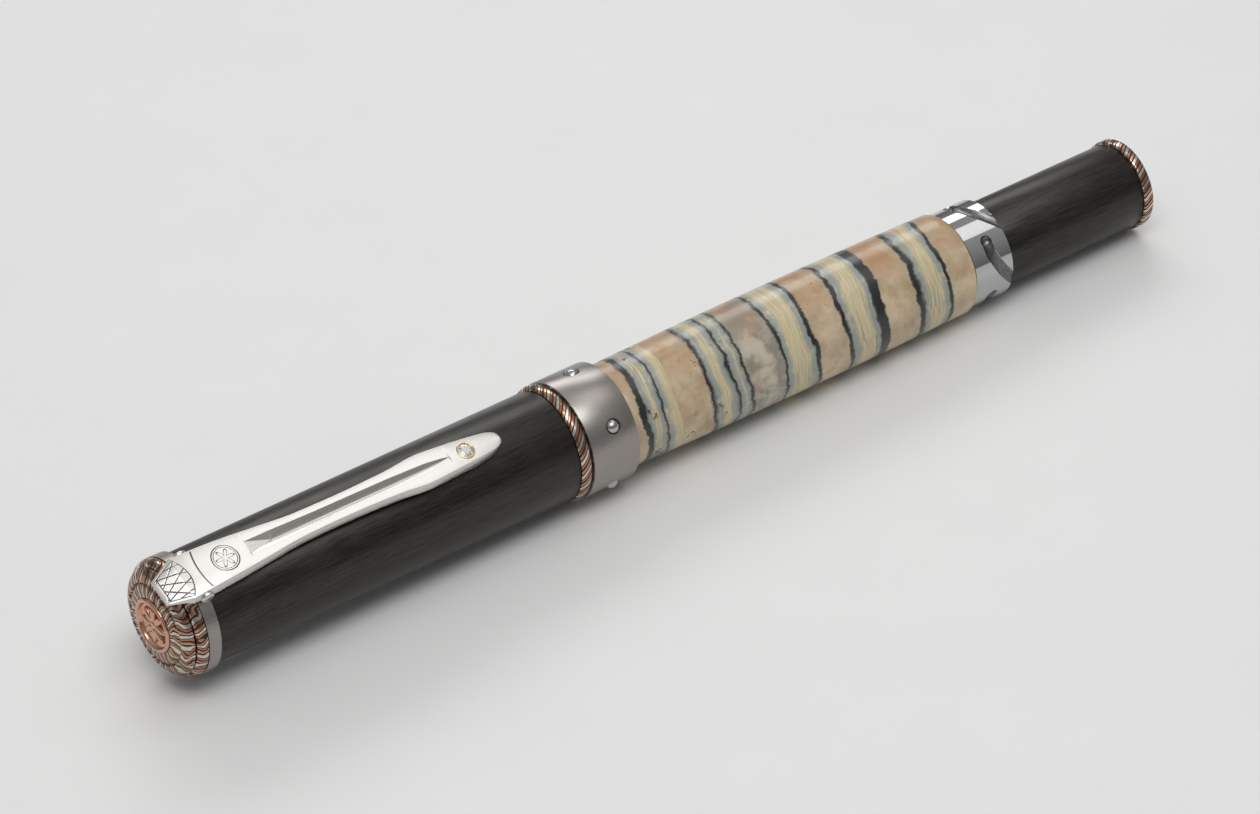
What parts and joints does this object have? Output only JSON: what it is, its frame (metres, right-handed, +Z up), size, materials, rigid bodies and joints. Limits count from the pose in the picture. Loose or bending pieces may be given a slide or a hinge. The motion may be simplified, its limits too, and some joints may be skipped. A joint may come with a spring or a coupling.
{
  "type": "capped fountain pen",
  "caption": "Capped fountain pen with a banded barrel, dark cap and tail, ball-lock cap band, milled lock rings and a sprung hinged clip",
  "frame": {"origin": "on the table under the middle of the pen", "axes": "+X runs along the pen from the cap's medallion to the tail, +Z is up from the table the pen lies on"},
  "size_m": [0.1404, 0.0147, 0.016],
  "materials": {
    "banded": "satin polished, banded",
    "charcoal": "satin dark, fine lengthwise grain",
    "laminate": "satin, wavy laminated copper, silver and black",
    "rose": "polished rose gold",
    "grey": "satin grey",
    "steel": "polished",
    "clip": "bright satin",
    "gem": "faceted clear",
    "gold": "polished gold",
    "brass": "plain brass",
    "alloy": "plain",
    "black": "polished black",
    "feed": "matt black",
    "clear": "clear",
    "seal": "soft",
    "spring": "drawn wire"
  },
  "bodies": {
    "barrel": {"barrel_sleeve": "banded", "barrel_tube": "brass", "front_lock_ring": "steel", "rear_lock_ring": "steel", "tail_tube": "charcoal", "tail_ring": "laminate", "tail_plug": "grey"},
    "section": {"grip_section": "black", "section_o_ring": "seal", "nib_collar": "feed", "nib": "gold", "feed": "feed"},
    "converter": {"converter_collar": "alloy", "converter_tube": "clear", "converter_sleeve": "alloy"},
    "piston": {"converter_piston": "feed", "converter_rod": "alloy"},
    "knob": {"converter_knob": "alloy"},
    "inner_cap": {"inner_cap": "feed"},
    "spring_seat": {"spring_washer": "spring", "inner_cap_spring": "spring"},
    "cap": {"cap_tube": "charcoal", "cap_liner": "alloy", "cap_trim_ring": "laminate", "cap_band": "grey", "ball_cage": "steel", "lock_balls": "steel", "finial": "laminate", "finial_medallion": "rose", "finial_screw": "spring", "top_ring": "grey", "clip_mount": "alloy", "clip_pin": "spring", "clip_spring": "spring"},
    "clip": {"clip": "clip", "stone_bezel": "gold", "clip_stone": "gem"}
  },
  "joints": [
    {"name": "section_out", "type": "slide", "parent": "barrel", "child": "section", "axis": [-1, 0, 0], "range_m": [0, 0.072]},
    {"name": "converter_pull", "type": "slide", "parent": "section", "child": "converter", "axis": [1, 0, 0], "range_m": [0, 0.008]},
    {"name": "knob_turn", "type": "hinge", "parent": "converter", "child": "knob", "pos_m": [0.04022, 0, 0.00717], "axis": [1, 0, 0], "range_deg": [0, 2160]},
    {"name": "piston_travel", "type": "slide", "parent": "converter", "child": "piston", "axis": [-1, 0, 0], "range_m": [0, 0.02199]},
    {"name": "cap_pull", "type": "slide", "parent": "section", "child": "inner_cap", "axis": [-1, 0, 0], "range_m": [0, 0.075]},
    {"name": "cap_lead", "type": "slide", "parent": "inner_cap", "child": "spring_seat", "axis": [-1, 0, 0], "range_m": [0, 0.00357], "deforming": ["inner_cap_spring"]},
    {"name": "cap_twist", "type": "hinge", "parent": "spring_seat", "child": "cap", "pos_m": [-0.01082, 0, 0.00717], "axis": [-1, 0, 0], "range_deg": [0, 73]},
    {"name": "clip_lift", "type": "hinge", "parent": "cap", "child": "clip", "pos_m": [-0.0658, -0.00327, 0.01387], "axis": [0, -0.8988, -0.4384], "range_deg": [0, 4], "stiffness_Nm_per_rad": 1.5, "springref_deg": -1.15, "deforming": ["clip_spring"]}
  ],
  "couplings": [
    {"joint": "cap_twist", "follows": "cap_lead", "rad_per_m": 357.14},
    {"joint": "knob_turn", "follows": "piston_travel", "rad_per_m": 1713.6}
  ]
}
